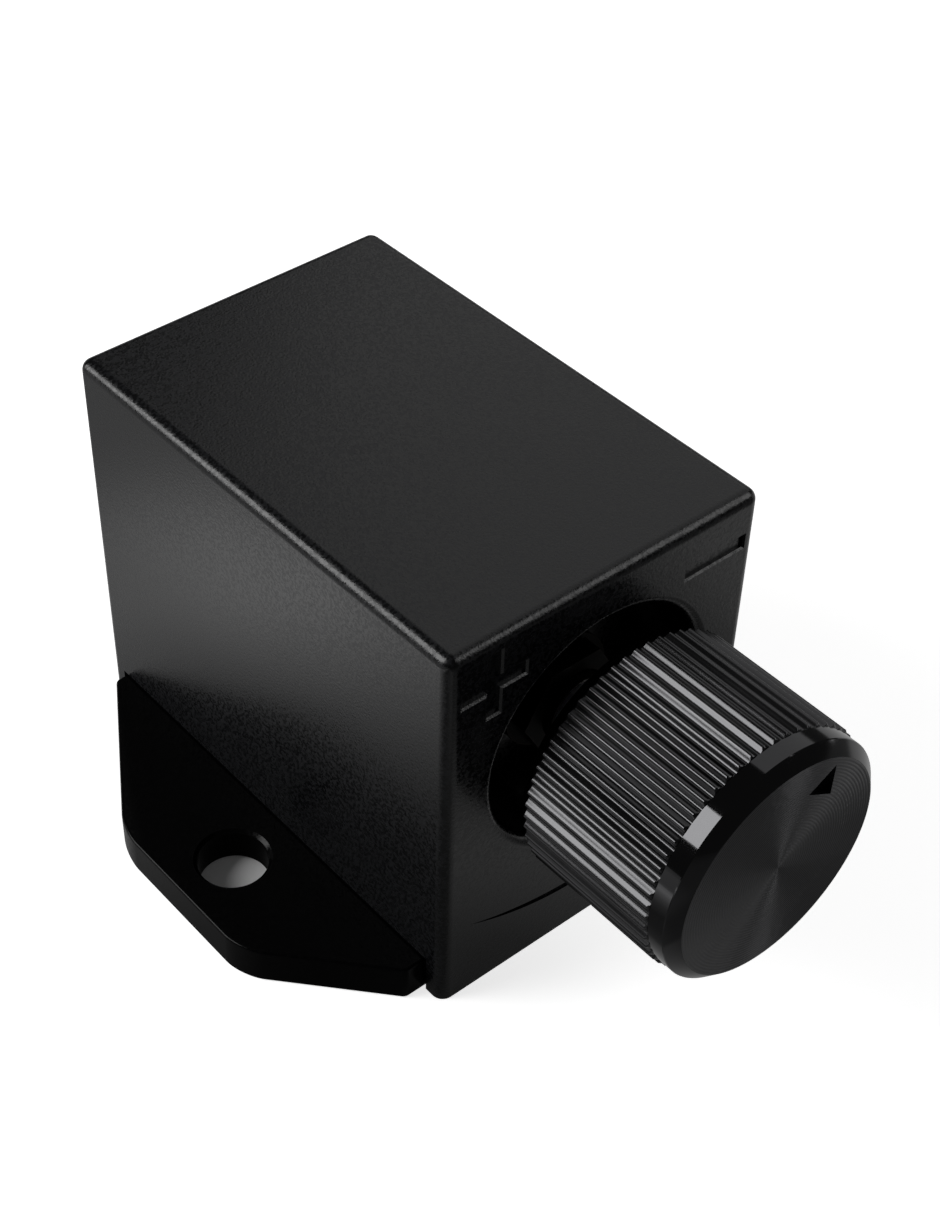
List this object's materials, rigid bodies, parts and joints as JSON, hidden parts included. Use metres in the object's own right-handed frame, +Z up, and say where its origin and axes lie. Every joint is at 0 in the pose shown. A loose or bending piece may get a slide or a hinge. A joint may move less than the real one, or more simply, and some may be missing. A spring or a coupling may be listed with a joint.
{
  "type": "trailer brake controller",
  "caption": "Small black box on a screw-down flange with a knurled metal knob that turns to set trailer braking and pushes in to brake by hand.",
  "frame": {"origin": "under the middle of the bounding box, on the flat underside of the flange", "axes": "-Y out of the knob's face, +X to the right as seen from the knob, +Z up from the flange to the closed top"},
  "size_m": [0.0608, 0.0756, 0.043],
  "materials": {
    "textured_black_plastic": "fine sparked texture, satin",
    "black_anodised_aluminium": "black anodised, turned face, straight knurl",
    "seal_rubber": "matt foam rubber",
    "bright_steel": "zinc plated",
    "grey_plastic": "moulded",
    "dark_plated_brass": "black plated",
    "bare_aluminium": "plain",
    "brown_laminate": "phenolic laminate",
    "tinned_brass": "tin plated",
    "green_laminate": "solder resist over glass laminate",
    "black_plastic": "moulded"
  },
  "bodies": {
    "enclosure": {"housing": "textured_black_plastic", "base_gasket": "seal_rubber", "cover_screw_1": "bright_steel", "cover_screw_2": "bright_steel", "cover_screw_3": "bright_steel", "cover_screw_4": "bright_steel", "board_screw_1": "bright_steel", "board_screw_2": "bright_steel", "board_screw_3": "bright_steel", "board_screw_4": "bright_steel", "spreader_screw_1": "bright_steel", "spreader_screw_2": "bright_steel", "return_spring": "bright_steel", "filter_capacitor_1": "grey_plastic", "filter_capacitor_2": "grey_plastic", "bushing_nut": "dark_plated_brass", "bushing_washer": "dark_plated_brass", "control_bushing": "dark_plated_brass", "control_can": "bare_aluminium", "heat_spreader": "bare_aluminium", "track_wafer": "brown_laminate", "track_terminal_1": "tinned_brass", "track_terminal_2": "tinned_brass", "track_terminal_3": "tinned_brass", "current_shunt": "tinned_brass", "connector_pin_1": "tinned_brass", "connector_pin_2": "tinned_brass", "connector_pin_3": "tinned_brass", "connector_pin_4": "tinned_brass", "control_board": "green_laminate", "main_board": "green_laminate", "base_plate": "black_plastic", "switch_body": "black_plastic", "switch_cap": "black_plastic", "microcontroller": "black_plastic", "motion_sensor": "black_plastic", "power_transistor_1": "black_plastic", "power_transistor_2": "black_plastic", "brake_light_relay": "black_plastic", "board_link_header": "black_plastic", "connector_shroud": "black_plastic"},
    "rotor": {"wiper_rotor": "grey_plastic", "wiper_contact": "tinned_brass"},
    "knob": {"knob_body": "black_anodised_aluminium", "knob_core": "grey_plastic", "control_shaft": "bare_aluminium", "shaft_clip": "bright_steel"},
    "plunger": {"switch_plunger": "grey_plastic"}
  },
  "joints": [
    {"name": "knob_turn", "type": "hinge", "parent": "enclosure", "child": "rotor", "pos_m": [0, 0, 0.0254], "axis": [0, 1, 0], "range_deg": [0, 300]},
    {"name": "knob_push", "type": "slide", "parent": "rotor", "child": "knob", "axis": [0, 1, 0], "range_m": [0, 0.002], "stiffness_N_per_m": 900, "springref_m": -0.0015},
    {"name": "plunger_push", "type": "slide", "parent": "enclosure", "child": "plunger", "axis": [0, 1, 0], "range_m": [0, 0.002], "deforming": ["return_spring"]}
  ],
  "couplings": [
    {"joint": "plunger_push", "follows": "knob_push", "ratio": 1}
  ]
}
